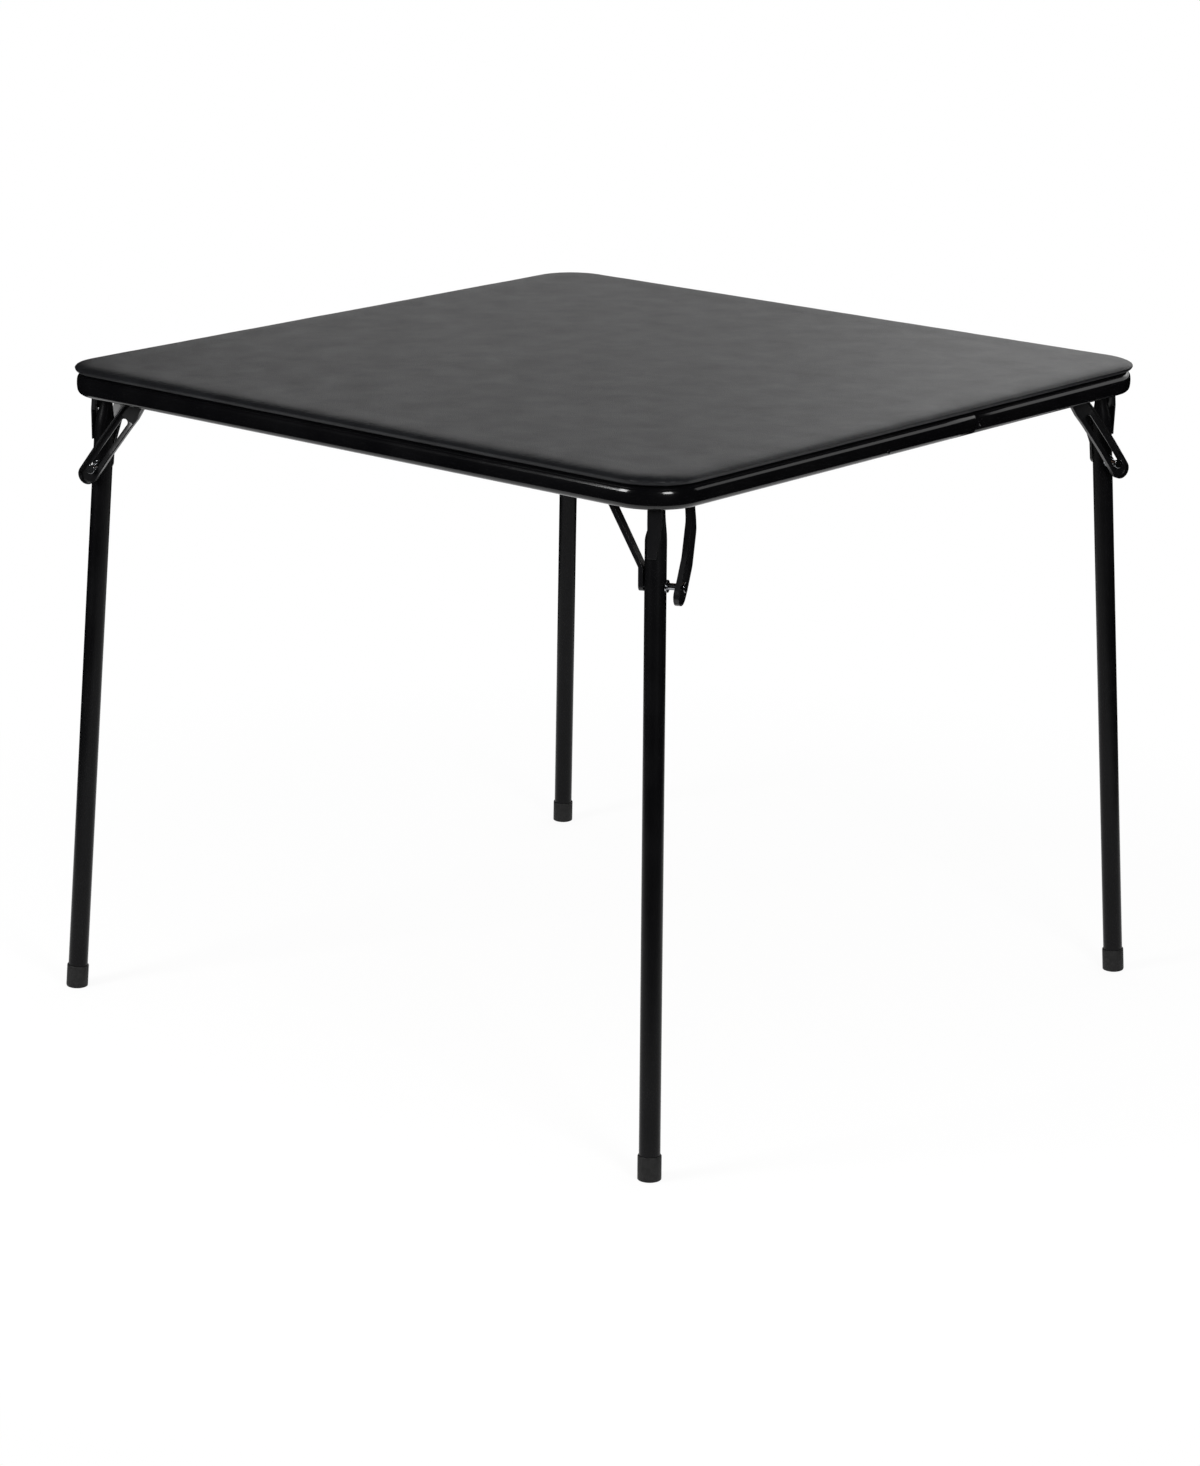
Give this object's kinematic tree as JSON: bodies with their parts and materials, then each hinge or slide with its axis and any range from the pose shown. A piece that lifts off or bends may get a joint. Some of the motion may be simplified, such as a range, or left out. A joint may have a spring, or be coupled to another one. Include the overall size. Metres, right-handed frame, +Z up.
{
  "type": "folding card table",
  "caption": "Square folding card table with a padded vinyl top in a black steel rail, on round tube legs that latch open with slotted links and fold flat.",
  "frame": {"origin": "on the floor under the centre of the top, with the legs open", "axes": "+Z up; +X and +Y along the top's sides; the butt joint of the rail is on the -Y side"},
  "size_m": [0.8756, 0.8756, 0.724],
  "materials": {
    "vinyl": "satin leather-grain vinyl",
    "foam": "open-cell foam",
    "board": "bare hardboard",
    "rail_enamel": "gloss black enamel",
    "leg_enamel": "semi-gloss black enamel",
    "hardware_enamel": "satin black enamel",
    "bright_zinc": "bright zinc plate",
    "cap_rubber": "matte black"
  },
  "bodies": {
    "table_top": {"bracket_rivets": "bright_zinc", "foam_pad": "foam", "frame_rail": "rail_enamel", "front_left_hinge_bracket": "hardware_enamel", "front_left_hinge_rod": "bright_zinc", "front_left_link_bracket": "hardware_enamel", "front_right_hinge_bracket": "hardware_enamel", "front_right_hinge_rod": "bright_zinc", "front_right_link_bracket": "hardware_enamel", "panel_board": "board", "panel_screws": "bright_zinc", "rail_rivets": "rail_enamel", "rail_splice_plate": "rail_enamel", "rail_splice_rivet": "rail_enamel", "rear_left_hinge_bracket": "hardware_enamel", "rear_left_hinge_rod": "bright_zinc", "rear_left_link_bracket": "hardware_enamel", "rear_right_hinge_bracket": "hardware_enamel", "rear_right_hinge_rod": "bright_zinc", "rear_right_link_bracket": "hardware_enamel", "vinyl_cover": "vinyl"},
    "front_left_leg": {"front_left_foot_cap": "cap_rubber", "front_left_latch_stud": "bright_zinc", "front_left_leg_stay": "hardware_enamel", "front_left_leg_tube": "leg_enamel", "front_left_side_brace": "hardware_enamel"},
    "front_left_sleeve": {"front_left_latch_sleeve": "bright_zinc"},
    "front_left_link": {"front_left_latch_link": "hardware_enamel", "front_left_link_pivot": "hardware_enamel"},
    "rear_left_leg": {"rear_left_foot_cap": "cap_rubber", "rear_left_latch_stud": "bright_zinc", "rear_left_leg_stay": "hardware_enamel", "rear_left_leg_tube": "leg_enamel", "rear_left_side_brace": "hardware_enamel"},
    "rear_left_sleeve": {"rear_left_latch_sleeve": "bright_zinc"},
    "rear_left_link": {"rear_left_latch_link": "hardware_enamel", "rear_left_link_pivot": "hardware_enamel"},
    "front_right_leg": {"front_right_foot_cap": "cap_rubber", "front_right_latch_stud": "bright_zinc", "front_right_leg_stay": "hardware_enamel", "front_right_leg_tube": "leg_enamel", "front_right_side_brace": "hardware_enamel"},
    "front_right_sleeve": {"front_right_latch_sleeve": "bright_zinc"},
    "front_right_link": {"front_right_latch_link": "hardware_enamel", "front_right_link_pivot": "hardware_enamel"},
    "rear_right_leg": {"rear_right_foot_cap": "cap_rubber", "rear_right_latch_stud": "bright_zinc", "rear_right_leg_stay": "hardware_enamel", "rear_right_leg_tube": "leg_enamel", "rear_right_side_brace": "hardware_enamel"},
    "rear_right_sleeve": {"rear_right_latch_sleeve": "bright_zinc"},
    "rear_right_link": {"rear_right_latch_link": "hardware_enamel", "rear_right_link_pivot": "hardware_enamel"}
  },
  "joints": [
    {"name": "front_left_leg_fold", "type": "hinge", "parent": "table_top", "child": "front_left_leg", "pos_m": [-0.391, -0.391, 0.699], "axis": [0.3582, -0.9332, 0.0284], "range_deg": [0, 93.65]},
    {"name": "front_left_sleeve_turn", "type": "hinge", "parent": "front_left_leg", "child": "front_left_sleeve", "pos_m": [-0.39544, -0.39544, 0.60922], "axis": [0.3582, -0.9332, 0.0284], "range_deg": [0, 27.21]},
    {"name": "front_left_link_slide", "type": "slide", "parent": "front_left_sleeve", "child": "front_left_link", "axis": [-0.5292, -0.2281, -0.8173], "range_m": [0, 0.06543]},
    {"name": "rear_left_leg_fold", "type": "hinge", "parent": "table_top", "child": "rear_left_leg", "pos_m": [-0.391, 0.391, 0.699], "axis": [-0.9332, -0.3582, 0.0284], "range_deg": [0, 93.65]},
    {"name": "rear_left_sleeve_turn", "type": "hinge", "parent": "rear_left_leg", "child": "rear_left_sleeve", "pos_m": [-0.39544, 0.39544, 0.60922], "axis": [-0.9332, -0.3582, 0.0284], "range_deg": [0, 27.21]},
    {"name": "rear_left_link_slide", "type": "slide", "parent": "rear_left_sleeve", "child": "rear_left_link", "axis": [-0.2281, 0.5292, -0.8173], "range_m": [0, 0.06543]},
    {"name": "front_right_leg_fold", "type": "hinge", "parent": "table_top", "child": "front_right_leg", "pos_m": [0.391, -0.391, 0.699], "axis": [0.3582, 0.9332, -0.0284], "range_deg": [0, 90.25]},
    {"name": "front_right_sleeve_turn", "type": "hinge", "parent": "front_right_leg", "child": "front_right_sleeve", "pos_m": [0.39544, -0.39544, 0.60922], "axis": [0.3582, 0.9332, -0.0284], "range_deg": [0, 26.22]},
    {"name": "front_right_link_slide", "type": "slide", "parent": "front_right_sleeve", "child": "front_right_link", "axis": [0.5292, -0.2281, -0.8173], "range_m": [0, 0.06306]},
    {"name": "rear_right_leg_fold", "type": "hinge", "parent": "table_top", "child": "rear_right_leg", "pos_m": [0.391, 0.391, 0.699], "axis": [-0.9332, 0.3582, -0.0284], "range_deg": [0, 90.25]},
    {"name": "rear_right_sleeve_turn", "type": "hinge", "parent": "rear_right_leg", "child": "rear_right_sleeve", "pos_m": [0.39544, 0.39544, 0.60922], "axis": [-0.9332, 0.3582, -0.0284], "range_deg": [0, 26.22]},
    {"name": "rear_right_link_slide", "type": "slide", "parent": "rear_right_sleeve", "child": "rear_right_link", "axis": [0.2281, 0.5292, -0.8173], "range_m": [0, 0.06306]}
  ],
  "couplings": [
    {"joint": "front_left_sleeve_turn", "follows": "front_left_leg_fold", "ratio": 0.29},
    {"joint": "front_left_link_slide", "follows": "front_left_leg_fold", "m_per_rad": 0.04},
    {"joint": "rear_left_sleeve_turn", "follows": "rear_left_leg_fold", "ratio": 0.29},
    {"joint": "rear_left_link_slide", "follows": "rear_left_leg_fold", "m_per_rad": 0.04},
    {"joint": "front_right_sleeve_turn", "follows": "front_right_leg_fold", "ratio": 0.29},
    {"joint": "front_right_link_slide", "follows": "front_right_leg_fold", "m_per_rad": 0.04},
    {"joint": "rear_right_sleeve_turn", "follows": "rear_right_leg_fold", "ratio": 0.29},
    {"joint": "rear_right_link_slide", "follows": "rear_right_leg_fold", "m_per_rad": 0.04}
  ]
}
